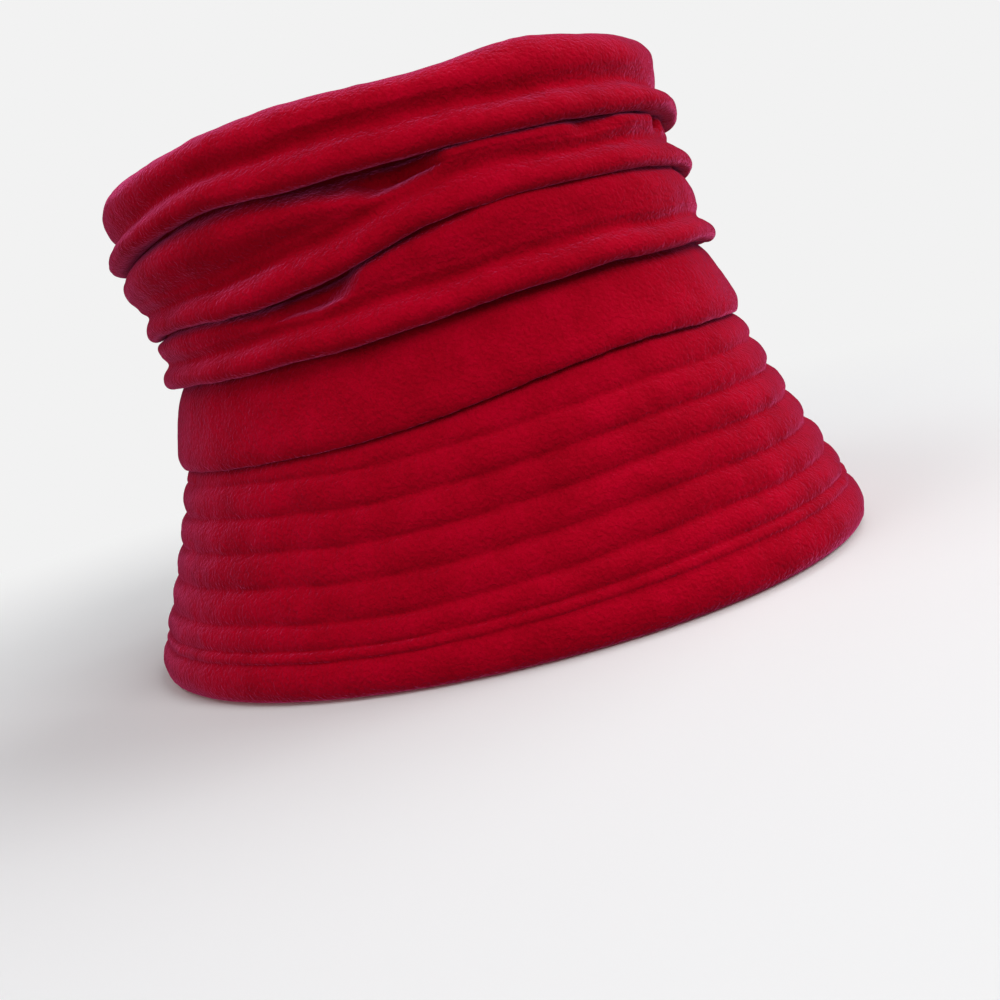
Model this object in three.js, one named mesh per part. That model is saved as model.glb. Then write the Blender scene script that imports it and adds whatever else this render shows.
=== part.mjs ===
import * as THREE from 'three';

// Soft fleece bucket hat resting on its rim, in millimetres.
// -Y is the front, +Z is up, and the origin is the middle of the rim on the ground.
// Each layer is a closed cloth wall, lofted round the hat from one section per turn.

// Plan sizes, front to back. Every oval has the same width for its length.
const RIM_LENGTH = 270;
const BAND_LENGTH = 215;
const CROWN_LENGTH = 204;
const WIDTH_RATIO = 0.86;

// Heights: ground to the seam under the band, and seam to the top edge. The crown's lean to the
// back sets in at LEAN_FROM_RATIO and is whole after LEAN_OVER_RATIO more, and the tip's middle
// stands TIP_DOME over TIP_RATIO. These ratios are shares of CROWN_HEIGHT.
const BRIM_HEIGHT = 76;
const CROWN_HEIGHT = 106;
const CROWN_LEAN = 7;
const LEAN_FROM_RATIO = 0.25;
const LEAN_OVER_RATIO = 0.65;
const TIP_RATIO = 0.965;
const TIP_DOME = 3;

// Cloth: the crown is doubled fleece, the brim an upper layer with a facing under it.
const CROWN_CLOTH = 3;
const BRIM_CLOTH = 3;
const FACING_CLOTH = 2.2;
const CLEARANCE = 0.3;

// Crown: rolled tucks, a soft shoulder round the top, and a band turned over at its lower edge.
const TUCK_ROLL = 10;
const TUCK_STAND = 5;
const SHOULDER = 20;
const BAND_OVERHANG = 2;
const BAND_TURN = 1.5;

// Brim: quilted channels between rows of stitching, and a padded rim.
const FIRST_STITCH = 7.5;
const STITCH_PITCH = 10.8;
const STITCH_ROWS = 5;
const EDGE_STITCH = 17.2;
const EDGE_STITCH_PITCH = 3.4;
const STITCH_WAVE = 2.2;
const EDGE_WAVE = 0.6;
const STITCH_SINK = 2.4;
const CHANNEL_PUFF = 1.4;
const BRIM_BOW = 1.6;
const RIM_ROLL = 11;

const SECTIONS = 54;
const SHOULDER_STEPS = 4;
const TIP_RINGS = [0.4, 0.8, 1];

// Fold lines round the hat. turn is in degrees from the front towards the wearer's right.
// edge, the tucks' lower lips and the band's lip are heights over the brim seam, in shares of
// CROWN_HEIGHT. soft is the shoulder's depth in shares of SHOULDER.
const FOLD_LINES = [
  { turn: 0, edge: 0.968, soft: 0.45, tuck1: 0.705, tuck2: 0.533, tuck3: 0.290, lip: 0.038 },
  { turn: 20, edge: 0.978, soft: 0.55, tuck1: 0.720, tuck2: 0.550, tuck3: 0.297, lip: 0.050 },
  { turn: 40, edge: 0.990, soft: 0.62, tuck1: 0.726, tuck2: 0.557, tuck3: 0.300, lip: 0.060 },
  { turn: 60, edge: 0.960, soft: 0.70, tuck1: 0.728, tuck2: 0.547, tuck3: 0.285, lip: 0.033 },
  { turn: 75, edge: 0.965, soft: 0.75, tuck1: 0.727, tuck2: 0.507, tuck3: 0.267, lip: 0.000 },
  { turn: 90, edge: 0.974, soft: 0.80, tuck1: 0.726, tuck2: 0.451, tuck3: 0.253, lip: -0.021 },
  { turn: 105, edge: 0.970, soft: 0.90, tuck1: 0.737, tuck2: 0.428, tuck3: 0.250, lip: -0.026 },
  { turn: 125, edge: 0.955, soft: 0.95, tuck1: 0.707, tuck2: 0.436, tuck3: 0.252, lip: -0.027 },
  { turn: 150, edge: 0.968, soft: 1.10, tuck1: 0.665, tuck2: 0.422, tuck3: 0.256, lip: -0.026 },
  { turn: 180, edge: 0.970, soft: 1.15, tuck1: 0.662, tuck2: 0.432, tuck3: 0.260, lip: -0.020 },
  { turn: 220, edge: 0.965, soft: 0.95, tuck1: 0.690, tuck2: 0.455, tuck3: 0.268, lip: -0.010 },
  { turn: 265, edge: 0.975, soft: 0.80, tuck1: 0.712, tuck2: 0.490, tuck3: 0.280, lip: 0.010 },
  { turn: 310, edge: 0.968, soft: 0.60, tuck1: 0.690, tuck2: 0.515, tuck3: 0.284, lip: 0.028 },
  { turn: 340, edge: 0.962, soft: 0.45, tuck1: 0.675, tuck2: 0.500, tuck3: 0.279, lip: 0.028 },
];

// Slack in the cloth round the hat, in shares of TUCK_STAND: the hollows under the two upper
// tucks and the belly between them. wave lifts the stitch rows, in shares of STITCH_WAVE.
const SLACK = [
  { turn: 0, hollow1: 0.0, hollow2: 0.0, belly: -0.4, wave: 0.6 },
  { turn: 10, hollow1: 0.4, hollow2: 0.0, belly: -0.3, wave: 0.7 },
  { turn: 22, hollow1: 0.1, hollow2: 0.0, belly: -0.1, wave: 0.8 },
  { turn: 32, hollow1: 0.4, hollow2: 0.0, belly: 0.0, wave: 0.9 },
  { turn: 42, hollow1: 0.0, hollow2: 0.0, belly: 0.0, wave: 1.0 },
  { turn: 58, hollow1: 0.1, hollow2: 0.0, belly: 0.0, wave: 0.3 },
  { turn: 66, hollow1: 1.0, hollow2: 0.0, belly: 0.0, wave: -0.2 },
  { turn: 82, hollow1: 0.7, hollow2: 0.1, belly: 0.1, wave: -0.9 },
  { turn: 94, hollow1: 0.3, hollow2: 0.9, belly: 0.3, wave: -1.0 },
  { turn: 108, hollow1: 0.1, hollow2: 0.2, belly: 0.7, wave: -0.5 },
  { turn: 135, hollow1: 0.0, hollow2: 0.0, belly: 0.9, wave: -0.1 },
  { turn: 170, hollow1: 0.0, hollow2: 0.0, belly: 0.6, wave: 0.2 },
  { turn: 210, hollow1: 0.3, hollow2: 0.3, belly: 0.3, wave: 0.0 },
  { turn: 250, hollow1: 0.1, hollow2: 0.5, belly: 0.0, wave: -0.4 },
  { turn: 300, hollow1: 0.5, hollow2: 0.1, belly: 0.1, wave: 0.1 },
  { turn: 340, hollow1: 0.1, hollow2: 0.0, belly: -0.4, wave: 0.8 },
];

// One tuck from the crease over it to the recess under its lip: height over the lip in shares of
// its roll, and how far it stands out in shares of its stand. lined rows have the inner face behind.
const TUCK_SECTION = [
  { rise: 1.0, out: -0.10, lined: true },
  { rise: 0.82, out: 0.62, lined: false },
  { rise: 0.46, out: 0.95, lined: false },
  { rise: 0.14, out: 0.78, lined: false },
  { rise: 0.0, out: 0.20, lined: false },
  { rise: 0.16, out: -0.70, lined: true },
];

// The three tucks from the top down: roll and stand in shares of TUCK_ROLL and TUCK_STAND,
// and the crown's reach at the tuck and just over it in shares of half the CROWN_LENGTH.
const TUCKS = [
  { line: 'tuck1', roll: 0.95, stand: 1.05, reach: 0.995, over: 1.015 },
  { line: 'tuck2', roll: 0.95, stand: 0.80, reach: 0.985, over: 0.993 },
  { line: 'tuck3', roll: 1.10, stand: 1.05, reach: 0.988, over: 0.988 },
];

// Cloth between two tucks: how far down from the upper lip to the lower crease, its reach, how
// much it sinks in behind the lip above, and its shares of the hollow over it and of the belly.
const PANEL_SECTION = [
  { down: 0.2, sink: 0.35, hollow: 1.0, belly: 0.5 },
  { down: 0.52, sink: 0.0, hollow: 0.6, belly: 1.0 },
  { down: 0.84, sink: 0.0, hollow: 0.1, belly: 0.9 },
];
const BELLY_RATIO = 0.9;
const SHOULDER_RATIO = 1.02;

// Crown band from its top, under the lowest tuck, to the lip: how far down, its reach between
// CROWN_LENGTH and BAND_LENGTH, and what it lies back from that, in shares of TUCK_STAND.
const BAND_SECTION = [
  { down: 0.0, flare: 0.0, back: 0.75, lined: true },
  { down: 0.1, flare: 0.0, back: 0.25, lined: false },
  { down: 0.32, flare: 0.3, back: 0.0, lined: true },
  { down: 0.62, flare: 0.72, back: 0.0, lined: true },
  { down: 0.84, flare: 0.96, back: 0.0, lined: false },
  { down: 0.95, flare: 1.0, back: 0.08, lined: false },
  { down: 1.0, flare: 1.0, back: 0.16, lined: false },
];

// One quilted channel between two rows of stitching: how far down it, and its share of the puff.
const CHANNEL_SECTION = [
  { down: 0.25, out: 1.0 },
  { down: 0.65, out: 0.85 },
];

// Padded rim from its outer face, under it and up the inside: shares of RIM_ROLL.
const RIM_SECTION = [
  { inward: 0.06, up: 0.95 },
  { inward: 0.0, up: 0.62 },
  { inward: 0.04, up: 0.30 },
  { inward: 0.13, up: 0.09 },
  { inward: 0.27, up: 0.0 },
  { inward: 0.68, up: 0.0 },
  { inward: 0.87, up: 0.12 },
  { inward: 0.98, up: 0.42 },
];
const RIM_TOP_RATIO = 1.2;

// Steps from one edge to the other of the brim's hidden faces, in shares of their height.
const BRIM_INSIDE_STEPS = [0.35, 0.7, 1];
const FACING_STEPS = [0, 0.3, 0.65, 1];

const FLEECE = 0xa50023;
const FLEECE_UNDER = 0x8c001e;

const { lerp, smoothstep, degToRad } = THREE.MathUtils;

/** Turns a table of rows by angle into a smooth closed function of the angle. */
function roundTable(rows) {
  const names = Object.keys(rows[0]).filter((name) => name !== 'turn');
  const closed = [...rows, { ...rows[0], turn: 360 }];
  const values = closed.flatMap((row) => names.map((name) => row[name]));
  const curve = new THREE.CubicInterpolant(closed.map((row) => row.turn), values, names.length);
  curve.settings = { endingStart: THREE.WrapAroundEnding, endingEnd: THREE.WrapAroundEnding };
  return (turn) => {
    const found = curve.evaluate(turn);
    return Object.fromEntries(names.map((name, column) => [name, found[column]]));
  };
}

const foldLines = roundTable(FOLD_LINES);
const slackAt = roundTable(SLACK);
const bandReach = BAND_LENGTH / 2;
const crownReach = CROWN_LENGTH / 2;
const rimReach = RIM_LENGTH / 2;
const seamReach = bandReach - BAND_OVERHANG;
const brimLayers = BRIM_CLOTH + CLEARANCE + FACING_CLOTH;

/** Height of a fold line: share of the crown over the brim seam. */
const lineHeight = (share) => BRIM_HEIGHT + share * CROWN_HEIGHT;

/** A point of the hat: half-length of the plain oval, distance outside it, and height. */
function place(turn, reach, out, height) {
  const angle = degToRad(turn);
  const leanFrom = lineHeight(LEAN_FROM_RATIO);
  const back = CROWN_LEAN * smoothstep(height, leanFrom, leanFrom + LEAN_OVER_RATIO * CROWN_HEIGHT);
  const x = -(reach * WIDTH_RATIO + out) * Math.sin(angle);
  const y = -(reach + out) * Math.cos(angle) + back;
  return new THREE.Vector3(x, y, height);
}

/** Height of the tip's middle. */
const tipMiddle = lineHeight(TIP_RATIO) + TIP_DOME;

/** Joins sections round the hat into one closed mesh. A capped one also closes at its middle. */
function loft(name, section, colour, capped = false) {
  const positions = [];
  const faces = [];
  const turns = Array.from({ length: SECTIONS }, (_, step) => (360 * step) / SECTIONS);
  const loops = turns.map((turn) => section(turn));
  const rows = loops[0].length;
  loops.flat().forEach((corner) => positions.push(...corner.toArray()));
  const index = (step, row) => (step % SECTIONS) * rows + (row % rows);
  for (let step = 0; step < SECTIONS; step += 1) {
    for (let row = 0; row < rows - (capped ? 1 : 0); row += 1) {
      const [a, b] = [index(step, row), index(step + 1, row)];
      const [c, d] = [index(step + 1, row + 1), index(step, row + 1)];
      faces.push(a, b, c, a, c, d);
    }
  }
  if (capped) {
    const middle = (row) => {
      const sum = new THREE.Vector3();
      loops.forEach((loop) => sum.add(loop[row]));
      return sum.divideScalar(SECTIONS);
    };
    const top = middle(0).setZ(tipMiddle);
    const under = middle(rows - 1).setZ(tipMiddle - CROWN_CLOTH);
    const first = positions.length / 3;
    positions.push(...top.toArray(), ...under.toArray());
    for (let step = 0; step < SECTIONS; step += 1) {
      faces.push(first, index(step + 1, 0), index(step, 0));
      faces.push(first + 1, index(step, rows - 1), index(step + 1, rows - 1));
    }
  }
  const geometry = new THREE.BufferGeometry();
  geometry.setAttribute('position', new THREE.Float32BufferAttribute(positions, 3));
  geometry.setIndex(faces);
  geometry.computeVertexNormals();
  const material = new THREE.MeshStandardMaterial({ color: colour, roughness: 0.95, metalness: 0 });
  const mesh = new THREE.Mesh(geometry, material);
  mesh.name = name;
  return mesh;
}

/** Soft shoulder: from flat on top (share 0) to upright (share 1). */
function shoulderPoint(turn, share, inset) {
  const lines = foldLines(turn);
  const depth = SHOULDER * lines.soft;
  const bend = (share * Math.PI) / 2;
  const reach = SHOULDER_RATIO * crownReach;
  const out = -depth * (1 - Math.sin(bend)) - inset * Math.sin(bend);
  const height = lineHeight(lines.edge) - depth * (1 - Math.cos(bend)) - inset * Math.cos(bend);
  return place(turn, reach, out, height);
}

/** Crown side: shoulder, then three tucks with the cloth between them, and back up inside. */
function crownSideSection(turn) {
  const lines = foldLines(turn);
  const slack = slackAt(turn);
  const outer = [];
  const inner = [];
  const add = (reach, out, height, lined) => {
    outer.push(place(turn, reach * crownReach, out, height));
    if (lined) inner.unshift(place(turn, reach * crownReach, out - CROWN_CLOTH, height));
  };
  TUCKS.forEach((tuck, order) => {
    const lip = lineHeight(lines[tuck.line]);
    const roll = TUCK_ROLL * tuck.roll;
    const hollow = [0, slack.hollow1, slack.hollow2][order];
    const belly = order === 1 ? slack.belly : 0;
    if (order > 0) {
      const above = TUCKS[order - 1];
      const from = lineHeight(lines[above.line]);
      PANEL_SECTION.forEach((row) => {
        const give = row.belly * belly - row.hollow * hollow - row.sink;
        add(tuck.over, TUCK_STAND * give, lerp(from, lip + roll, row.down), true);
      });
    }
    TUCK_SECTION.forEach((row, step) => {
      const stand = TUCK_STAND * tuck.stand * row.out;
      const crease = step === 0 ? Math.max(belly, 0) * BELLY_RATIO * TUCK_STAND : 0;
      add(step === 0 ? tuck.over : tuck.reach, stand - crease, lip + roll * row.rise, row.lined);
    });
  });
  const steps = Array.from({ length: SHOULDER_STEPS + 1 }, (_, step) => step / SHOULDER_STEPS);
  const shoulder = steps.map((share) => shoulderPoint(turn, share, 0));
  const lining = [1, 0.5, 0].map((share) => shoulderPoint(turn, share, CROWN_CLOTH));
  return [...shoulder, ...outer, ...inner, ...lining];
}

/** Crown tip: top from its middle ring to the seam, and back underneath. */
function crownTipSection(turn) {
  const seam = shoulderPoint(turn, 0, 0);
  const reachRow = (share, under) => {
    const edge = Math.hypot(seam.x, seam.y - CROWN_LEAN) - CLEARANCE;
    const flat = new THREE.Vector3(seam.x, seam.y - CROWN_LEAN, 0).setLength(edge * share);
    const height = lerp(tipMiddle, seam.z, share * share) - under;
    return new THREE.Vector3(flat.x, flat.y + CROWN_LEAN, height);
  };
  const top = TIP_RINGS.map((share) => reachRow(share, 0));
  const under = TIP_RINGS.map((share) => reachRow(share, CROWN_CLOTH)).reverse();
  return [...top, ...under];
}

/** Height of the recess under the lowest tuck, where the side ends and the band begins. */
function recessHeight(turn) {
  const lowest = TUCKS[TUCKS.length - 1];
  const rise = TUCK_SECTION[TUCK_SECTION.length - 1].rise;
  return lineHeight(foldLines(turn)[lowest.line]) + TUCK_ROLL * lowest.roll * rise;
}

/** Crown band: from the recess to the lip turned over the brim, and back up inside. */
function crownBandSection(turn) {
  const from = recessHeight(turn) - CLEARANCE;
  const lip = lineHeight(foldLines(turn).lip);
  const rows = BAND_SECTION.map((row) => {
    const reach = lerp(crownReach * TUCKS[2].reach, bandReach, row.flare);
    return { ...row, reach, out: -row.back * TUCK_STAND, height: lerp(from, lip, row.down) };
  });
  const outer = rows.map((row) => place(turn, row.reach, row.out, row.height));
  const shelf = lip + BAND_TURN;
  const fold = [0, -brimLayers].map((out) => place(turn, seamReach, out, shelf));
  const lined = rows.filter((row) => row.lined).reverse();
  const inner = lined.map((row) => place(turn, row.reach, row.out - CROWN_CLOTH, row.height));
  return [...outer, ...fold, ...inner];
}

/** Height of the brim's top edge, just under the band's shelf. */
function brimTop(turn) {
  return lineHeight(foldLines(turn).lip) + BAND_TURN - CLEARANCE;
}

/** Reach of the brim's stitch line at a height: a slightly hollow flare from the seam to the rim. */
function brimReach(turn, height) {
  const top = brimTop(turn);
  const down = (top - height) / (top - RIM_ROLL);
  const bow = BRIM_BOW * Math.sin(Math.PI * down);
  return lerp(seamReach, rimReach - STITCH_SINK, down) - bow;
}

/** Heights of the stitch rows at a turn, from the seam under the band to the edge rows. */
function stitchHeights(turn) {
  const lift = STITCH_WAVE * slackAt(turn).wave;
  const rows = Array.from({ length: STITCH_ROWS }, (_, row) => {
    return BRIM_HEIGHT - FIRST_STITCH - STITCH_PITCH * row + lift;
  });
  const edge = EDGE_STITCH + EDGE_WAVE * lift;
  return [brimTop(turn), ...rows, edge, edge - EDGE_STITCH_PITCH];
}

/** Brim's upper layer: quilted channels, the padded rim rolled under, and back up inside. */
function brimUpperSection(turn) {
  const heights = stitchHeights(turn);
  const outer = [];
  heights.forEach((height, row) => {
    outer.push(place(turn, brimReach(turn, height), 0, height));
    if (row === heights.length - 1) return;
    const drop = height - heights[row + 1];
    const puff = row === 0 ? 0 : CHANNEL_PUFF * Math.min(1, drop / STITCH_PITCH);
    CHANNEL_SECTION.forEach((bump) => {
      const at = height - bump.down * drop;
      outer.push(place(turn, brimReach(turn, at), bump.out * puff, at));
    });
  });
  const rim = RIM_SECTION.map((row) => place(turn, rimReach, -row.inward * RIM_ROLL, row.up * RIM_ROLL));
  const shelf = RIM_TOP_RATIO * RIM_ROLL;
  const inner = [-brimLayers, -BRIM_CLOTH].map((out) => place(turn, brimReach(turn, shelf), out, shelf));
  BRIM_INSIDE_STEPS.forEach((share) => {
    const height = lerp(shelf, heights[0], share);
    inner.push(place(turn, brimReach(turn, height), -BRIM_CLOTH, height));
  });
  return [...outer, ...rim, ...inner];
}

/** Brim's facing: a plain layer inside the upper one, standing on the rolled rim. */
function brimFacingSection(turn) {
  const top = brimTop(turn);
  const bottom = RIM_TOP_RATIO * RIM_ROLL + CLEARANCE;
  const face = (share, depth) => {
    const height = lerp(top, bottom, share);
    return place(turn, brimReach(turn, height), -depth, height);
  };
  const outer = FACING_STEPS.map((share) => face(share, BRIM_CLOTH + CLEARANCE));
  const inner = FACING_STEPS.map((share) => face(share, brimLayers)).reverse();
  return [...outer, ...inner];
}

const hat = new THREE.Group();
hat.name = 'fleece_bucket_hat';
hat.add(loft('crown_tip', crownTipSection, FLEECE, true));
hat.add(loft('crown_side', crownSideSection, FLEECE));
hat.add(loft('crown_band', crownBandSection, FLEECE));
hat.add(loft('brim_upper', brimUpperSection, FLEECE));
hat.add(loft('brim_facing', brimFacingSection, FLEECE_UNDER));

export default hat;
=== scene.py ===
"""Crimson fleece bucket hat resting on its rim: quilted flared brim, smooth band, tucked crown."""

import math

import bpy
import numpy as np
from mathutils import Euler, Matrix, noise, Vector


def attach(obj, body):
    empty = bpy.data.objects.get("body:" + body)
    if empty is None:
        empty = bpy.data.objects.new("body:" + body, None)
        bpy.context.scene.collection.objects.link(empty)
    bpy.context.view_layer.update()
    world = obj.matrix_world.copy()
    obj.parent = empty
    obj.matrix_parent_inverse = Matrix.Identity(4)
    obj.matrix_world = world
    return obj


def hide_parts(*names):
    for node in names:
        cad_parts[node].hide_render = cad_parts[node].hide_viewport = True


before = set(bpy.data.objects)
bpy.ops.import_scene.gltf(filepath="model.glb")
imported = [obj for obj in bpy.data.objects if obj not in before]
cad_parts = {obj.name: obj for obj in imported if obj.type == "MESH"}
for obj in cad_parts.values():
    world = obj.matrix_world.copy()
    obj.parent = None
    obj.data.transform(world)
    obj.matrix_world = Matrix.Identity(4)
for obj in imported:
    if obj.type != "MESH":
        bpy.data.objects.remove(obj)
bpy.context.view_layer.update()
MM = 0.001


# Camera: a hand-held view from the wearer's right, a little ahead, at about the crown's mid height.
# The picture is tipped, so that the hat seems to lean towards its back.
CAMERA_PLACE = (-0.4510, -0.1674, 0.1122)
CAMERA_HEADING = -70.28
CAMERA_DOWN = 9.51
CAMERA_TIP = -14.64
LENS = 46.46
turned = Euler((math.radians(90 - CAMERA_DOWN), 0, math.radians(CAMERA_HEADING))).to_matrix()
turned = turned @ Matrix.Rotation(math.radians(CAMERA_TIP), 3, "Z")
bpy.ops.object.camera_add(location=CAMERA_PLACE, rotation=turned.to_euler())
camera = bpy.context.object
camera.name = "camera"
camera.data.lens = LENS
bpy.context.scene.camera = camera


# Fleece: brushed polyester knit, milled to a short pebbled nap. The fine fibre ends catch light at
# a grazing angle, so the crimson turns pinkish at every turned edge and never shines.
NAP_CLUMP = 1.35
NAP_FINE = 0.45
NAP_FINE_SHARE = 0.2
NAP_RELIEF = 1.3
NAP_STRENGTH = 0.5
MOTTLE = 16.0
CLUMP_SHARE = 0.55
TONE_DEEP = 0.45
TONE_MIDDLE = 0.76
TONE_LIGHT = 1.08
CRIMSON = "#AC001C"
CRIMSON_DEEP = "#9A0016"
CRIMSON_LIGHT = "#B80022"
SHEEN_PINK = "#FF6AAE"
SHEEN_SPREAD = 0.32
FLEECE_ROUGHNESS = 0.92
FLEECE_SPECULAR = 0.03
# Colour scale of the brim facing's fleece: painted shade, because the underside lies in shade.
INSIDE_PAINTED_SHADE = 0.75


def linear(code):
    """Turns an sRGB hex code into a linear colour with full alpha."""
    parts = [int(code[at:at + 2], 16) / 255 for at in (1, 3, 5)]
    return [c / 12.92 if c <= 0.04045 else ((c + 0.055) / 1.055) ** 2.4 for c in parts] + [1.0]


def node(tree, kind, settings=None, links=None, **values):
    """Adds a node with its settings, its input values and its links, and gives it back."""
    made = tree.nodes.new(kind)
    for name, value in (settings or {}).items():
        setattr(made, name, value)
    for name, value in values.items():
        made.inputs[name.replace("_", " ")].default_value = value
    for name, source in (links or {}).items():
        tree.links.new(source, made.inputs[name])
    return made


def per_mm(size):
    """Texture scale whose pattern repeats about every size millimetres on Object coordinates."""
    return 1 / (size * MM)


def fleece(name, shade=1.0):
    """Brushed fleece, whose colour is scaled by shade; below 1 this paints shade into a darker copy."""
    material = bpy.data.materials.new(name)
    material.use_nodes = True
    tree = material.node_tree
    shader = tree.nodes["Principled BSDF"]
    spot = node(tree, "ShaderNodeTexCoord").outputs["Object"]
    clump = node(tree, "ShaderNodeTexNoise", links={"Vector": spot},
                 Scale=per_mm(NAP_CLUMP), Detail=1.0, Roughness=0.45, Distortion=0.5)
    fine = node(tree, "ShaderNodeTexNoise", links={"Vector": spot},
                Scale=per_mm(NAP_FINE), Detail=2.0, Roughness=0.6)
    mottle = node(tree, "ShaderNodeTexNoise", links={"Vector": spot},
                  Scale=per_mm(MOTTLE), Detail=4.0, Roughness=0.55)
    tone = node(tree, "ShaderNodeMath", {"operation": "MULTIPLY_ADD"},
                {0: clump.outputs["Fac"], 2: mottle.outputs["Fac"]})
    tone.inputs[1].default_value = CLUMP_SHARE
    ramp = node(tree, "ShaderNodeValToRGB", links={"Fac": tone.outputs["Value"]})
    stops = ramp.color_ramp.elements
    stops[0].position = TONE_DEEP
    stops[1].position = TONE_LIGHT
    stops[0].color = [c * shade for c in linear(CRIMSON_DEEP)[:3]] + [1.0]
    stops[1].color = [c * shade for c in linear(CRIMSON_LIGHT)[:3]] + [1.0]
    middle = stops.new(TONE_MIDDLE)
    middle.color = [c * shade for c in linear(CRIMSON)[:3]] + [1.0]
    tree.links.new(ramp.outputs["Color"], shader.inputs["Base Color"])
    relief = node(tree, "ShaderNodeMath", {"operation": "MULTIPLY_ADD"},
                  {0: fine.outputs["Fac"], 2: clump.outputs["Fac"]})
    relief.inputs[1].default_value = NAP_FINE_SHARE
    bump = node(tree, "ShaderNodeBump", links={"Height": relief.outputs["Value"]},
                Strength=NAP_STRENGTH, Distance=NAP_RELIEF * MM)
    tree.links.new(bump.outputs["Normal"], shader.inputs["Normal"])
    shader.inputs["Roughness"].default_value = FLEECE_ROUGHNESS
    shader.inputs["Specular IOR Level"].default_value = FLEECE_SPECULAR
    shader.inputs["Sheen Weight"].default_value = 1.0
    shader.inputs["Sheen Roughness"].default_value = SHEEN_SPREAD
    shader.inputs["Sheen Tint"].default_value = linear(SHEEN_PINK)
    return material


crimson_fleece = fleece("brushed_crimson_fleece")
# A darker copy of the same fleece, with painted shade for the brim's underside.
crimson_fleece_painted_shade_inside = fleece("crimson_fleece_painted_shade_inside", INSIDE_PAINTED_SHADE)


# Crown side: one soft tube of doubled fleece, taken in by three rolled tucks that hang over the
# cloth below them, and rolled in over the top edge. The slack cloth sinks and bellies between them.
RIM_REACH = 135.0
BAND_REACH = 107.5
CROWN_REACH = 102.0
WIDTH_RATIO = 0.86
BRIM_HEIGHT = 76.0
CROWN_HEIGHT = 106.0
CROWN_LEAN = 7.0
LEAN_FROM = 0.25
LEAN_OVER = 0.65
CROWN_CLOTH = 3.0
TUCK_ROLL = 10.0
TUCK_STAND = 5.0
LIP_DRIFT = 0.6
LIP_DRIFT_LENGTH = 24
ROLL_DRIFT = 0.12
ROLL_DRIFT_LENGTH = 40
STAND_DRIFT = 0.2
STAND_DRIFT_LENGTH = 33
SHOULDER = 20.0
SHOULDER_REACH = 1.02
SHOULDER_SHARES = (0, 0.03, 0.13, 0.3, 0.48, 0.66, 0.83, 1)
SHOULDER_CLEAR = 0.85
CROWN_SECTIONS = 360
ROW_STEPS = 4
SAGS = [
    {"deep": 1.2, "size": (60, 60, 34), "seed": 3.1},
    {"deep": 0.6, "size": (26, 26, 15), "seed": 7.7},
]
LUMPS = [
    {"deep": 0.34, "size": (9, 9, 7), "seed": 1.3},
    {"deep": 0.16, "size": (4.2, 4.2, 3.4), "seed": 5.9},
]
SAG_SEWN = 0.45


def table(names, rows):
    """Gives each row of a table its columns by name."""
    return [dict(zip(names, row)) for row in rows]


# Where the folds run round the hat, by turn from the front towards the wearer's right, as shares of
# the crown's height over the brim seam; and how slack and full the cloth is there.
FOLD_LINES = table(("turn", "edge", "soft", "tuck1", "tuck2", "tuck3", "lip"), [
    (0, 0.968, 0.45, 0.705, 0.533, 0.290, 0.038),
    (20, 0.978, 0.55, 0.720, 0.550, 0.297, 0.050),
    (40, 0.990, 0.62, 0.726, 0.557, 0.300, 0.060),
    (60, 0.960, 0.70, 0.728, 0.547, 0.285, 0.033),
    (75, 0.965, 0.75, 0.727, 0.507, 0.267, 0.000),
    (90, 0.974, 0.80, 0.726, 0.451, 0.253, -0.021),
    (105, 0.970, 0.90, 0.737, 0.428, 0.250, -0.026),
    (125, 0.955, 0.95, 0.707, 0.436, 0.252, -0.027),
    (150, 0.968, 1.10, 0.665, 0.422, 0.256, -0.026),
    (180, 0.970, 1.15, 0.662, 0.432, 0.260, -0.020),
    (220, 0.965, 0.95, 0.690, 0.455, 0.268, -0.010),
    (265, 0.975, 0.80, 0.712, 0.490, 0.280, 0.010),
    (310, 0.968, 0.60, 0.690, 0.515, 0.284, 0.028),
    (340, 0.962, 0.45, 0.675, 0.500, 0.279, 0.028),
])
SLACK = table(("turn", "open", "belly", "low", "under", "full", "puff", "wave"), [
    (0, 0.6, -0.2, 0.1, 0.0, 0.92, 1.2, 0.6),
    (10, 0.5, 0.2, 0.2, 0.0, 0.94, 1.2, 0.7),
    (22, 0.3, 0.5, 0.3, 0.0, 0.96, 1.1, 0.8),
    (42, 0.2, 0.5, 0.4, 0.0, 1.00, 0.9, 1.0),
    (56, 0.2, 0.45, 0.4, 0.0, 1.04, 0.8, 0.3),
    (66, 0.65, 0.45, 0.35, 0.0, 1.05, 0.75, -0.2),
    (82, 0.9, 0.4, 0.3, 0.2, 1.05, 0.7, -0.9),
    (94, 1.0, 0.6, 0.3, 0.6, 1.02, 0.65, -1.0),
    (108, 1.1, 0.8, 0.1, 0.9, 0.95, 0.55, -0.5),
    (135, 0.75, 0.9, 0.1, 0.45, 0.84, 0.45, -0.1),
    (170, 0.75, 0.6, 0.1, 0.3, 0.84, 0.6, 0.2),
    (210, 1.0, 0.3, 0.1, 0.5, 0.92, 0.8, 0.0),
    (250, 1.0, 0.2, 0.2, 0.2, 1.00, 0.9, -0.4),
    (300, 0.9, 0.3, 0.2, 0.0, 1.04, 1.0, 0.1),
    (340, 0.8, -0.1, 0.1, 0.0, 0.96, 1.1, 0.8),
])
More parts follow.
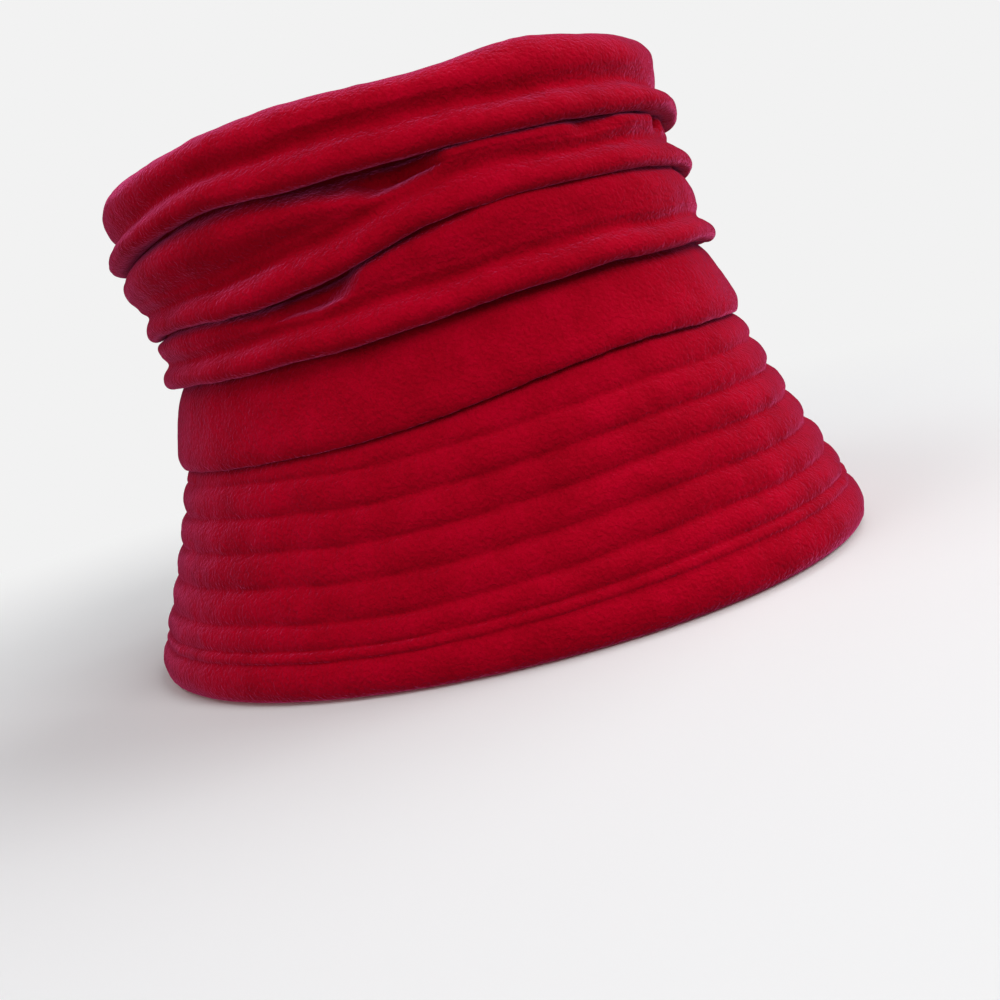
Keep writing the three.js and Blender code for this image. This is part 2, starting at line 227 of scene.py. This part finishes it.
TUCK_SECTION = [
    {"rise": 1.45, "out": -0.04, "belly": 0.85, "slack": 0.4, "lined": True},
    {"rise": 1.18, "out": -0.18, "belly": 0.6, "slack": 0.0, "lined": False},
    {"rise": 0.98, "out": -0.04, "belly": 0.2, "slack": 0.0, "lined": False},
    {"rise": 0.80, "out": 0.58, "belly": 0.0, "slack": 0.0, "lined": False},
    {"rise": 0.56, "out": 1.04, "belly": 0.0, "slack": 0.0, "lined": False},
    {"rise": 0.27, "out": 1.14, "belly": 0.0, "slack": 0.0, "lined": False},
    {"rise": 0.06, "out": 0.90, "belly": 0.0, "slack": 0.0, "lined": False},
    {"rise": -0.06, "out": 0.40, "belly": 0.0, "slack": 0.0, "lined": False},
    {"rise": 0.00, "out": -0.30, "belly": 0.0, "slack": 0.3, "lined": False},
    {"rise": 0.18, "out": -1.05, "belly": 0.0, "slack": 1.0, "lined": True},
]
TUCKS = [
    {"line": "tuck1", "roll": 1.00, "stand": 1.05, "reach": 0.995, "over": 1.010},
    {"line": "tuck2", "roll": 0.90, "stand": 0.85, "reach": 0.988, "over": 0.998},
    {"line": "tuck3", "roll": 0.92, "stand": 0.95, "reach": 0.988, "over": 0.998},
]
PANEL_SECTION = [
    {"down": 0.03, "sink": 1.00, "belly": 0.3, "under": 0.0, "lined": False},
    {"down": 0.12, "sink": 0.60, "belly": 0.65, "under": 0.0, "lined": True},
    {"down": 0.25, "sink": 0.20, "belly": 0.9, "under": 0.0, "lined": False},
    {"down": 0.41, "sink": 0.00, "belly": 1.0, "under": 0.0, "lined": True},
    {"down": 0.58, "sink": -0.05, "belly": 1.0, "under": 0.1, "lined": False},
    {"down": 0.75, "sink": 0.00, "belly": 1.0, "under": 0.5, "lined": True},
    {"down": 0.90, "sink": 0.05, "belly": 0.8, "under": 1.0, "lined": False},
]

# Pockets in the slack cloth right under a tuck, from one end to the other: how deep it sinks, and
# how far under the tuck's lip it comes forward again, in millimetres.
POCKETS = [
    {"under": "tuck1", "turn": [60.5, 65.5, 69, 74, 80, 87, 96],
     "deep": [0, 9, 10.5, 9.5, 7.5, 4.5, 0], "foot": [10, 11, 10, 8.5, 6, 4, 3]},
    {"under": "tuck1", "turn": [22, 28, 33, 38], "deep": [0, 2.5, 3, 0], "foot": [3, 4, 5, 6]},
    {"under": "tuck1", "turn": [2, 7, 12.5], "deep": [0, 4.5, 0], "foot": [8, 11, 13]},
    {"under": "tuck2", "turn": [81, 88, 92, 97, 103, 112],
     "deep": [0, 7.5, 8.5, 7, 4, 0], "foot": [4, 6, 7, 6, 4, 3]},
    {"under": "tuck2", "turn": [196, 205, 222, 240], "deep": [0, 5, 6, 0], "foot": [3, 6, 5, 2]},
    {"under": "tuck1", "turn": [284, 300, 318, 321], "deep": [0, 5, 7, 0], "foot": [2, 5, 9, 9]},
]
POCKET_EDGE = 3.4
POCKET_BROW = 0.06


def around(rows, name, turn):
    """Value of a table's column at turns round the hat, on a smooth closed curve through its rows."""
    knots = np.array([row["turn"] for row in rows], float)
    knots = np.concatenate([knots - 360, knots, knots + 360])
    values = np.tile([row[name] for row in rows], 3).astype(float)
    slopes = np.gradient(values, knots)
    turn = np.mod(turn, 360)
    at = np.searchsorted(knots, turn, side="right") - 1
    gap = knots[at + 1] - knots[at]
    t = (turn - knots[at]) / gap
    start = (1 + 2 * t) * (1 - t) ** 2 * values[at] + t * (1 - t) ** 2 * gap * slopes[at]
    return start + t * t * (3 - 2 * t) * values[at + 1] + t * t * (t - 1) * gap * slopes[at + 1]


def smoothstep(value, low, high):
    """Eases from 0 at low to 1 at high."""
    share = np.clip((value - low) / (high - low), 0, 1)
    return share * share * (3 - 2 * share)


def drift(turn, size, seed):
    """Smooth chance values from -1 to 1 round the hat, which change over about size millimetres."""
    angle = np.radians(turn)
    spots = np.stack([CROWN_REACH * np.cos(angle) / size, CROWN_REACH * np.sin(angle) / size], axis=-1)
    return np.array([noise.noise((across, along, seed)) for across, along in spots.tolist()])


def lumps(points, size, seed):
    """Smooth chance values from -1 to 1 over points, which change over the size in each direction."""
    spots = (points / np.array(size) + seed).reshape(-1, 3).tolist()
    return np.array([noise.noise(spot) for spot in spots]).reshape(points.shape[:-1])


def unevenness(points, layers):
    """Adds up layers of lumps, each with its depth in millimetres, size and seed."""
    return sum(layer["deep"] * lumps(points, layer["size"], layer["seed"]) for layer in layers)


def line_height(share):
    """Height of a fold line, from its share of the crown over the brim seam."""
    return BRIM_HEIGHT + share * CROWN_HEIGHT


def lean(height):
    """How far the crown sits back at a height."""
    return CROWN_LEAN * smoothstep(height, line_height(LEAN_FROM), line_height(LEAN_FROM + LEAN_OVER))


def place(turn, reach, out, height):
    """Points of the hat: half-length of the plain oval, distance outside it, and height."""
    angle = np.radians(turn)
    x = -(reach * WIDTH_RATIO + out) * np.sin(angle)
    y = -(reach + out) * np.cos(angle) + lean(height)
    return np.stack(np.broadcast_arrays(x, y, height), axis=-1)


def cloth_row(turn, reach, out, height, slack=0.0):
    """One row round the hat: oval, distance outside it, height, and its share of pockets and sags."""
    return np.stack(np.broadcast_arrays(reach + 0 * turn, out, height, slack))


def round_off(rows, steps):
    """Rounds a closed section: a uniform B-spline over its rows, in steps from row to row."""
    rows = np.stack(rows)
    t = (np.arange(steps) / steps)[:, None, None, None]
    before, after, last = np.roll(rows, 1, axis=0), np.roll(rows, -1, axis=0), np.roll(rows, -2, axis=0)
    fine = (1 - t) ** 3 * before + (3 * t ** 3 - 6 * t ** 2 + 4) * rows
    fine = (fine + (-3 * t ** 3 + 3 * t ** 2 + 3 * t + 1) * after + t ** 3 * last) / 6
    return np.moveaxis(fine, 0, 1).reshape(-1, *rows.shape[1:])


def swell(grid, amount):
    """Moves each point of a closed grid out of the cloth, along its normal."""
    along = np.roll(grid, -1, axis=1) - np.roll(grid, 1, axis=1)
    down = np.roll(grid, -1, axis=0) - np.roll(grid, 1, axis=0)
    normal = np.cross(down, along)
    normal = normal / np.maximum(np.linalg.norm(normal, axis=2, keepdims=True), 1e-9)
    return grid + normal * amount[..., None]


def loft(name, grid, material):
    """Makes a closed smooth shell from a grid of points, by row and turn, and gives its object."""
    rows, count = grid.shape[:2]
    corner = np.arange(rows * count).reshape(rows, count)
    below = np.roll(corner, -1, axis=0)
    faces = np.stack([corner, below, np.roll(below, -1, axis=1), np.roll(corner, -1, axis=1)], axis=-1)
    mesh = bpy.data.meshes.new(name)
    mesh.from_pydata((grid.reshape(-1, 3) * MM).tolist(), [], faces.reshape(-1, 4).tolist())
    shell = bpy.data.objects.new(name, mesh)
    bpy.context.collection.objects.link(shell)
    mesh.materials.append(material)
    bpy.ops.object.select_all(action="DESELECT")
    bpy.context.view_layer.objects.active = shell
    shell.select_set(True)
    bpy.ops.object.mode_set(mode="EDIT")
    bpy.ops.mesh.select_all(action="SELECT")
    bpy.ops.mesh.remove_doubles(threshold=0.01 * MM)
    bpy.ops.mesh.normals_make_consistent(inside=False)
    bpy.ops.object.mode_set(mode="OBJECT")
    bpy.ops.object.shade_smooth()
    return shell


def shoulder_row(turn, share, inset):
    """Soft shoulder: from flat on top (share 0) to upright (share 1), clear of the highest tuck."""
    depth = SHOULDER * around(FOLD_LINES, "soft", turn)
    edge = line_height(around(FOLD_LINES, "edge", turn))
    tuck_top = line_height(around(FOLD_LINES, "tuck1", turn)) + TUCK_SECTION[0]["rise"] * TUCK_ROLL
    bend = share * math.pi / 2
    out = -depth * (1 - math.sin(bend)) - inset * math.sin(bend)
    height = edge - np.minimum(depth, SHOULDER_CLEAR * (edge - tuck_top)) * (1 - math.cos(bend))
    return cloth_row(turn, SHOULDER_REACH * CROWN_REACH, out, height - inset * math.cos(bend))


def crown_side_rows(turn):
    """Rows of the crown side: shoulder, tucks and slack cloth outside, and back up inside."""
    outer = [shoulder_row(turn, share, 0) for share in SHOULDER_SHARES]
    inner = [shoulder_row(turn, share, CROWN_CLOTH) for share in (0, 0.5, 1)]
    under, opened, full = (around(SLACK, name, turn) for name in ("under", "open", "full"))
    bellies = [0 * turn, around(SLACK, "belly", turn), around(SLACK, "low", turn)]
    for order, tuck in enumerate(TUCKS):
        lip = line_height(around(FOLD_LINES, tuck["line"], turn))
        lip = lip + LIP_DRIFT * drift(turn, LIP_DRIFT_LENGTH, order)
        roll = TUCK_ROLL * tuck["roll"] * full
        roll = roll * (1 + ROLL_DRIFT * drift(turn, ROLL_DRIFT_LENGTH, order + 10))
        top = lip + TUCK_SECTION[0]["rise"] * roll
        stand = TUCK_STAND * tuck["stand"] * full ** order
        stand = stand * (1 + STAND_DRIFT * drift(turn, STAND_DRIFT_LENGTH, order + 20))
        if order:
            start = line_height(around(FOLD_LINES, TUCKS[order - 1]["line"], turn))
            for row in PANEL_SECTION:
                give = row["belly"] * bellies[order] - row["sink"] * opened
                give = give - row["under"] * under * (order == 1)
                height = start + row["down"] * (top - start)
                reach = tuck["over"] * CROWN_REACH
                outer.append(cloth_row(turn, reach, TUCK_STAND * give, height, 1.0))
                if row["lined"]:
                    inner.append(cloth_row(turn, reach, TUCK_STAND * give - CROWN_CLOTH, height, 1.0))
        for step, row in enumerate(TUCK_SECTION):
            reach = (tuck["reach"] if step else tuck["over"]) * CROWN_REACH
            out = stand * row["out"] * np.where(row["rise"] < 0.2 and row["out"] < 0, opened, 1)
            out = out + TUCK_STAND * row["belly"] * bellies[order]
            if step < 2 and order == 1:
                out = out - TUCK_STAND * under
            outer.append(cloth_row(turn, reach, out, lip + roll * row["rise"], row["slack"]))
            if row["lined"]:
                height = lip + roll * row["rise"]
                inner.append(cloth_row(turn, reach, out - CROWN_CLOTH, height, row["slack"]))
    return outer + inner[::-1]


def sink_pockets(turn, rows):
    """Pushes the slack rows in at each pocket, and lets the cloth under it stand a little proud."""
    reach, out, height, slack = rows[:, 0], rows[:, 1].copy(), rows[:, 2], rows[:, 3]
    for pocket in POCKETS:
        knots = np.array(pocket["turn"], float)
        at = np.clip(np.searchsorted(knots, turn, side="right") - 1, 0, len(knots) - 2)
        ease = smoothstep(turn, knots[at], knots[at + 1])
        deep, foot = np.array(pocket["deep"], float), np.array(pocket["foot"], float)
        deep = deep[at] + (deep[at + 1] - deep[at]) * ease
        foot = foot[at] + (foot[at + 1] - foot[at]) * ease
        edge = line_height(around(FOLD_LINES, pocket["under"], turn)) - foot
        near = 1 - smoothstep(np.abs(height - edge), foot + 0.2 * TUCK_ROLL, foot + 0.5 * TUCK_ROLL)
        out -= slack * deep * near * smoothstep(height, edge - POCKET_EDGE, edge + POCKET_EDGE)
        brow = np.exp(-((height - edge + 2 * POCKET_EDGE) / (1.5 * POCKET_EDGE)) ** 2)
        out += slack * deep * POCKET_BROW * brow
    return np.stack([reach, out, height, slack], axis=1)


def settle(turn, rows):
    """Places rows, with soft unevenness: wide sags in the slack cloth and small lumps all over."""
    points = place(turn, rows[:, 0], rows[:, 1], rows[:, 2])
    sag = unevenness(points, SAGS) * (SAG_SEWN + (1 - SAG_SEWN) * rows[:, 3])
    grid = place(turn, rows[:, 0], rows[:, 1] + sag, rows[:, 2])
    return swell(grid, unevenness(grid, LUMPS))


crown_turns = np.arange(CROWN_SECTIONS) * 360 / CROWN_SECTIONS
crown_rows = sink_pockets(crown_turns, round_off(crown_side_rows(crown_turns), ROW_STEPS))
crown_side = loft("crown_side_cloth", settle(crown_turns, crown_rows), crimson_fleece)
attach(crown_side, "root")
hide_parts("crown_side")


# Crown tip: the flat top panel of the same fleece, sewn into the shoulder by a turned-in seam,
# which shows as a shallow groove. The soft cloth domes a little.
TIP_LEVEL = 0.965
TIP_DOME = 3.0
SEAM_GAP = 0.1
TIP_RINGS = (0.0, 0.06, 0.16, 0.3, 0.45, 0.6, 0.75, 0.88, 0.95, 0.985)
TIP_UNDER_RINGS = (0.85, 0.6, 0.3, 0.1, 0.0)
SEAM_SINK = 1.6
TIP_LUMPS = [
    {"deep": 1.6, "size": (48, 48, 200), "seed": 2.2},
    {"deep": 0.5, "size": (17, 17, 200), "seed": 4.4},
]


def tip_row(turn, share, under):
    """Ring of the tip: share of the way from its middle to the seam, and how deep under the top."""
    reach, out, height, slack = shoulder_row(turn, 0, 0)
    seam = place(turn, reach, out, height)
    flat = seam[:, :2] - [0, CROWN_LEAN]
    length = np.linalg.norm(flat, axis=1)
    flat = flat * ((length - SEAM_GAP) * share / length)[:, None]
    middle = line_height(TIP_LEVEL) + TIP_DOME
    level = middle + (seam[:, 2] - middle) * share ** 2 - under
    return np.column_stack([flat[:, 0], flat[:, 1] + CROWN_LEAN, level])


tip_rows = [tip_row(crown_turns, share, 0) for share in TIP_RINGS]
tip_rows += [tip_row(crown_turns, 1, depth) for depth in (SEAM_SINK, CROWN_CLOTH)]
tip_rows += [tip_row(crown_turns, share, CROWN_CLOTH) for share in TIP_UNDER_RINGS]
tip_grid = round_off(tip_rows[:1] * 2 + tip_rows + tip_rows[-1:] * 2, ROW_STEPS)
tip_grid[..., 2] += unevenness(tip_grid, TIP_LUMPS)
crown_tip = loft("crown_tip_cloth", tip_grid, crimson_fleece)
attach(crown_tip, "root")
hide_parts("crown_tip")


# Crown band: the smooth lower part of the crown, turned over at its lower edge, so that a full
# rounded lip hangs over the brim's seam.
BAND_OVERHANG = 2.0
BAND_TURN = 1.5
BRIM_CLOTH = 3.0
FACING_CLOTH = 2.2
CLEARANCE = 0.3
BAND_SECTION = [
    {"down": 0.0, "flare": 0.0, "back": 0.95, "lined": True},
    {"down": 0.06, "flare": 0.0, "back": 0.55, "lined": False},
    {"down": 0.16, "flare": 0.06, "back": 0.12, "lined": False},
    {"down": 0.32, "flare": 0.28, "back": 0.0, "lined": True},
    {"down": 0.50, "flare": 0.56, "back": 0.0, "lined": False},
    {"down": 0.68, "flare": 0.82, "back": -0.03, "lined": True},
    {"down": 0.82, "flare": 0.98, "back": -0.10, "lined": False},
    {"down": 0.93, "flare": 1.0, "back": -0.06, "lined": False},
    {"down": 1.00, "flare": 1.0, "back": 0.16, "lined": False},
    {"down": 0.98, "flare": 1.0, "back": 0.40, "lined": False},
]
seam_reach = BAND_REACH - BAND_OVERHANG
brim_layers = BRIM_CLOTH + CLEARANCE + FACING_CLOTH


def crown_band_rows(turn):
    """Rows of the band from the recess under the lowest tuck to its lip, and back up inside."""
    lowest = TUCKS[-1]
    rise = TUCK_ROLL * lowest["roll"] * TUCK_SECTION[-1]["rise"]
    start = line_height(around(FOLD_LINES, lowest["line"], turn)) + rise - CLEARANCE
    lip = line_height(around(FOLD_LINES, "lip", turn))
    outer = []
    inner = []
    for row in BAND_SECTION:
        reach = CROWN_REACH * lowest["reach"] * (1 - row["flare"]) + BAND_REACH * row["flare"]
        height = start + row["down"] * (lip - start)
        out = -row["back"] * TUCK_STAND
        outer.append(cloth_row(turn, reach, out, height))
        if row["lined"]:
            inner.append(cloth_row(turn, reach, out - CROWN_CLOTH, height))
    shelf = [cloth_row(turn, seam_reach, out, lip + BAND_TURN) for out in (0, -brim_layers)]
    return outer + shelf + inner[::-1]


band_grid = settle(crown_turns, round_off(crown_band_rows(crown_turns), ROW_STEPS))
crown_band = loft("crown_band_cloth", band_grid, crimson_fleece)
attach(crown_band, "root")
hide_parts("crown_band")


# Brim: fleece over soft padding, quilted in rows of stitching that draw the cloth into even channels,
# and rolled under round a thick padded rim. The stitched rows are held, and a short cloth simulation
# with pressure lets the cloth between them fill out over its padding.
FIRST_STITCH = 7.5
STITCH_PITCH = 10.8
STITCH_ROWS = 5
EDGE_STITCH = 17.2
EDGE_STITCH_PITCH = 3.4
STITCH_WAVE = 2.2
EDGE_WAVE = 0.6
STITCH_SINK = 1.6
CHANNEL_PUFF = 1.3
PUFF_DRIFT = 0.35
PUFF_DRIFT_LENGTH = 21
GROOVE = 1.65
EAVE_SINK = 2.3
BRIM_BOW = 1.6
RIM_ROLL = 11.0
BRIM_SECTIONS = 330
BRIM_STEPS = 1
PAD_PRESSURE = 500.0
PAD_QUALITY = 6
PAD_MASS = 0.1
PAD_FREE = 0.4
PAD_FRAMES = 14
PAD_MOVE = 1.5
PUCKERS = [
    {"deep": 0.5, "size": (13, 13, 9), "seed": 8.2},
    {"deep": 0.35, "size": (5.5, 5.5, 9), "seed": 6.6},
]
BRIM_LUMPS = [
    {"deep": 0.22, "size": (8, 8, 6), "seed": 1.3},
    {"deep": 0.14, "size": (4, 4, 3.4), "seed": 5.9},
]
REST_FADE = 3.0
INNER_SHARES = (0.2, 0.45, 0.7, 1.0)
RIM_SECTION = [
    {"inward": 0.13, "up": 1.12},
    {"inward": 0.03, "up": 0.88},
    {"inward": -0.03, "up": 0.62},
    {"inward": 0.0, "up": 0.34},
    {"inward": 0.09, "up": 0.12},
    {"inward": 0.25, "up": 0.0},
    {"inward": 0.68, "up": 0.0},
    {"inward": 0.86, "up": 0.10},
    {"inward": 0.98, "up": 0.38},
    {"inward": 1.0, "up": 0.80},
]
RIM_TOP = 1.2
CHANNEL_SECTION = [
    {"down": 0.0, "out": -1.0},
    {"down": 0.08, "out": 0.15},
    {"down": 0.24, "out": 0.6},
    {"down": 0.50, "out": 0.9},
    {"down": 0.76, "out": 1.0},
    {"down": 0.92, "out": 0.5},
]


def brim_top(turn):
    """Height of the brim's top edge, just under the band's shelf."""
    return line_height(around(FOLD_LINES, "lip", turn)) + BAND_TURN - CLEARANCE


def brim_reach(turn, height):
    """Half-length of the brim along its stitch rows: a slightly hollow flare."""
    top = brim_top(turn)
    down = (top - height) / (top - RIM_ROLL)
    flare = seam_reach + (RIM_REACH - STITCH_SINK - seam_reach) * down
    return flare - BRIM_BOW * np.sin(math.pi * down)


def stitch_heights(turn):
    """Heights of the stitch rows, from the seam under the band to the double row at the edge."""
    lift = STITCH_WAVE * around(SLACK, "wave", turn)
    rows = [BRIM_HEIGHT - FIRST_STITCH - STITCH_PITCH * row + lift for row in range(STITCH_ROWS)]
    edge = EDGE_STITCH + EDGE_WAVE * lift
    return [brim_top(turn)] + rows + [edge, edge - EDGE_STITCH_PITCH]


def brim_upper_rows(turn):
    """Rows of the brim's upper layer: channels, padded rim and the inner face."""
    heights = stitch_heights(turn)
    outer = []
    for order, height in enumerate(heights[:-1]):
        drop = height - heights[order + 1]
        puff = CHANNEL_PUFF * np.minimum(1, drop / STITCH_PITCH) * around(SLACK, "puff", turn)
        puff = puff * (1 + PUFF_DRIFT * drift(turn, PUFF_DRIFT_LENGTH, order + 30))
        for bump in CHANNEL_SECTION:
            at = height - bump["down"] * drop
            out = puff * max(bump["out"], 0) + GROOVE * min(bump["out"], 0) * (order > 0)
            out = out - EAVE_SINK * (1 - bump["down"]) * (order == 0)
            outer.append(cloth_row(turn, brim_reach(turn, at), out, at, float(bump["out"] > 0.3)))
    outer.append(cloth_row(turn, brim_reach(turn, heights[-1]), -GROOVE, heights[-1]))
    for row in RIM_SECTION:
        up = row["up"] * RIM_ROLL + 0 * turn
        outer.append(cloth_row(turn, RIM_REACH, -row["inward"] * RIM_ROLL, up, 0.5 * (row["up"] > 0.2)))
    shelf = RIM_TOP * RIM_ROLL + 0 * turn
    inner = []
    for depth in (brim_layers, BRIM_CLOTH):
        inner.append(cloth_row(turn, brim_reach(turn, shelf), -depth, shelf))
    for share in INNER_SHARES:
        height = shelf + share * (heights[0] - shelf)
        inner.append(cloth_row(turn, brim_reach(turn, height), -BRIM_CLOTH, height))
    return outer + inner


def points_of(shell):
    """Coordinates of a piece's mesh, in millimetres."""
    flat = np.empty(len(shell.data.vertices) * 3, np.float32)
    shell.data.vertices.foreach_get("co", flat)
    return flat.reshape(-1, 3).astype(float) / MM


def move_to(shell, points):
    """Sets a piece's mesh to new coordinates, in millimetres."""
    shell.data.vertices.foreach_set("co", (points * MM).astype(np.float32).ravel())
    shell.data.update()


def puff_up(shell, free):
    """Lets the free cloth between the rows of stitching fill out over its padding, by a capped move."""
    start = points_of(shell)
    held = shell.vertex_groups.new(name="held")
    held.add(np.flatnonzero(~free).tolist(), 1.0, "REPLACE")
    bpy.ops.object.modifier_add(type="CLOTH")
    cloth = shell.modifiers["Cloth"]
    cloth.settings.quality = PAD_QUALITY
    cloth.settings.mass = PAD_MASS
    cloth.settings.vertex_group_mass = "held"
    cloth.settings.use_pressure = True
    cloth.settings.uniform_pressure_force = PAD_PRESSURE
    cloth.settings.effector_weights.gravity = 0
    cloth.collision_settings.use_collision = False
    for step in range(1, PAD_FRAMES + 1):
        bpy.context.scene.frame_set(step)
    bpy.ops.object.modifier_apply(modifier="Cloth")
    bpy.context.scene.frame_set(1)
    move = points_of(shell) - start
    length = np.linalg.norm(move, axis=1, keepdims=True)
    move_to(shell, start + move * np.minimum(1, PAD_MOVE / np.maximum(length, 1e-6)))


brim_turns = np.arange(BRIM_SECTIONS) * 360 / BRIM_SECTIONS
brim_rows = round_off(brim_upper_rows(brim_turns), BRIM_STEPS)
brim_grid = place(brim_turns, brim_rows[:, 0], brim_rows[:, 1], brim_rows[:, 2])
pucker = unevenness(brim_grid, PUCKERS) * brim_rows[:, 3]
brim_grid = swell(brim_grid, pucker * smoothstep(brim_grid[..., 2], 0.0, REST_FADE))
brim_upper = loft("brim_upper_cloth", brim_grid, crimson_fleece)
puff_up(brim_upper, brim_rows[:, 3].ravel() > PAD_FREE)
bpy.ops.object.modifier_add(type="SUBSURF")
brim_upper.modifiers["Subdivision"].levels = 1
brim_upper.modifiers["Subdivision"].render_levels = 1
bpy.ops.object.modifier_apply(modifier="Subdivision")
brim_points = points_of(brim_upper)
normals = np.array([vertex.normal for vertex in brim_upper.data.vertices])
brim_lumps = unevenness(brim_points, BRIM_LUMPS) * smoothstep(brim_points[:, 2], 0.0, REST_FADE)
move_to(brim_upper, brim_points + normals * brim_lumps[:, None])
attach(brim_upper, "root")
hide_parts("brim_upper")


# Brim facing: the plain under layer of the brim, in the same fleece, standing on the rolled rim.
# Its copy of the fleece is darker all over, as painted shade for the brim's underside.
FACING_SECTION = (0, 0.3, 0.65, 1)
FACING_STEPS = 3


def brim_facing_rows(turn):
    """Rows of the facing, down its hidden face and up its shown one."""
    low = RIM_TOP * RIM_ROLL + CLEARANCE
    rows = []
    for depth, shares in ((BRIM_CLOTH + CLEARANCE, FACING_SECTION), (brim_layers, FACING_SECTION[::-1])):
        for share in shares:
            height = brim_top(turn) + share * (low - brim_top(turn))
            rows.append(cloth_row(turn, brim_reach(turn, height), -depth, height))
    return rows


facing_rows = round_off(brim_facing_rows(brim_turns), FACING_STEPS)
facing_grid = place(brim_turns, facing_rows[:, 0], facing_rows[:, 1], facing_rows[:, 2])
brim_facing = loft("brim_facing_cloth", facing_grid, crimson_fleece_painted_shade_inside)
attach(brim_facing, "root")
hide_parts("brim_facing")


# Studio: a pale painted floor that runs without a line into an evenly lit backdrop, under soft boxes
# and a faint even light. The floor's outer part is lit like the backdrop. Neither board throws light
# back on the hat, so that the undersides of its folds stay dark.
FLOOR_PALE = "#F3F3F4"
BACKDROP_PALE = "#F2F2F2"
FLOOR_LIT_FROM = 0.17
FLOOR_LIT_TO = 0.55
BACKDROP = 6.0
SOFT_BOX = 0.9
WHITE = (1.0, 1.0, 1.0)
ROOM_PALE = "#F4F5F7"
ROOM_STRENGTH = 0.25


def studio_board(name, lit_from, lit_to):
    """Pale board that turns from plain paint into an evenly lit sheet between two radii."""
    material = bpy.data.materials.new(name)
    material.use_nodes = True
    tree = material.node_tree
    paint = tree.nodes["Principled BSDF"]
    paint.inputs["Base Color"].default_value = linear(FLOOR_PALE)
    paint.inputs["Roughness"].default_value = 0.9
    spot = node(tree, "ShaderNodeTexCoord").outputs["Object"]
    radius = node(tree, "ShaderNodeVectorMath", {"operation": "LENGTH"}, {0: spot})
    share = node(tree, "ShaderNodeMapRange", {"interpolation_type": "SMOOTHSTEP"},
                 {"Value": radius.outputs["Value"]}, From_Min=lit_from, From_Max=lit_to)
    lit = node(tree, "ShaderNodeEmission", Color=linear(BACKDROP_PALE), Strength=1.0)
    mix = node(tree, "ShaderNodeMixShader", links={0: share.outputs["Result"], 1: paint.outputs["BSDF"],
                                                   2: lit.outputs["Emission"]})
    tree.links.new(mix.outputs["Shader"], tree.nodes["Material Output"].inputs["Surface"])
    return material


bpy.ops.object.select_all(action="DESELECT")
bpy.ops.mesh.primitive_circle_add(vertices=96, radius=1.2, fill_type="NGON", location=(0, 0, 0))
floor = bpy.context.object
floor.name = "floor"
floor.data.materials.append(studio_board("pale_painted_floor", FLOOR_LIT_FROM, FLOOR_LIT_TO))
floor.visible_diffuse = False
bpy.ops.object.select_all(action="DESELECT")
bpy.ops.mesh.primitive_uv_sphere_add(segments=64, ring_count=32, radius=BACKDROP, location=(0, 0, -0.01))
backdrop = bpy.context.object
backdrop.name = "backdrop"
backdrop.data.materials.append(studio_board("evenly_lit_backdrop", 0.0, 0.01))
backdrop.visible_diffuse = False
backdrop.visible_glossy = False
backdrop.visible_shadow = False


def soft_light(name, location, height, watts):
    """A square soft box that faces the hat at a height."""
    aim = (Vector((0, 0, height)) - Vector(location)).to_track_quat("-Z", "Y").to_euler()
    bpy.ops.object.light_add(type="AREA", location=location, rotation=aim)
    light = bpy.context.object
    light.name = name
    light.data.size = SOFT_BOX
    light.data.energy = watts
    light.data.color = WHITE


soft_light("key_light", (-0.701, -1.201, 1.075), 0.1, 13.5)
soft_light("side_light", (0.643, -1.398, 0.818), 0.1, 9.5)
soft_light("left_light", (-0.555, 0.8, 1.493), 0.12, 4.5)
soft_light("low_left_light", (-1.434, 0.837, 0.453), 0.12, 5.2)
soft_light("far_light", (0.84, -0.49, 1.51), 0.12, 7.8)
world = bpy.data.worlds.new("studio")
world.use_nodes = True
world.node_tree.nodes["Background"].inputs["Color"].default_value = linear(ROOM_PALE)
world.node_tree.nodes["Background"].inputs["Strength"].default_value = ROOM_STRENGTH
bpy.context.scene.world = world
bpy.context.scene.view_settings.view_transform = "Standard"
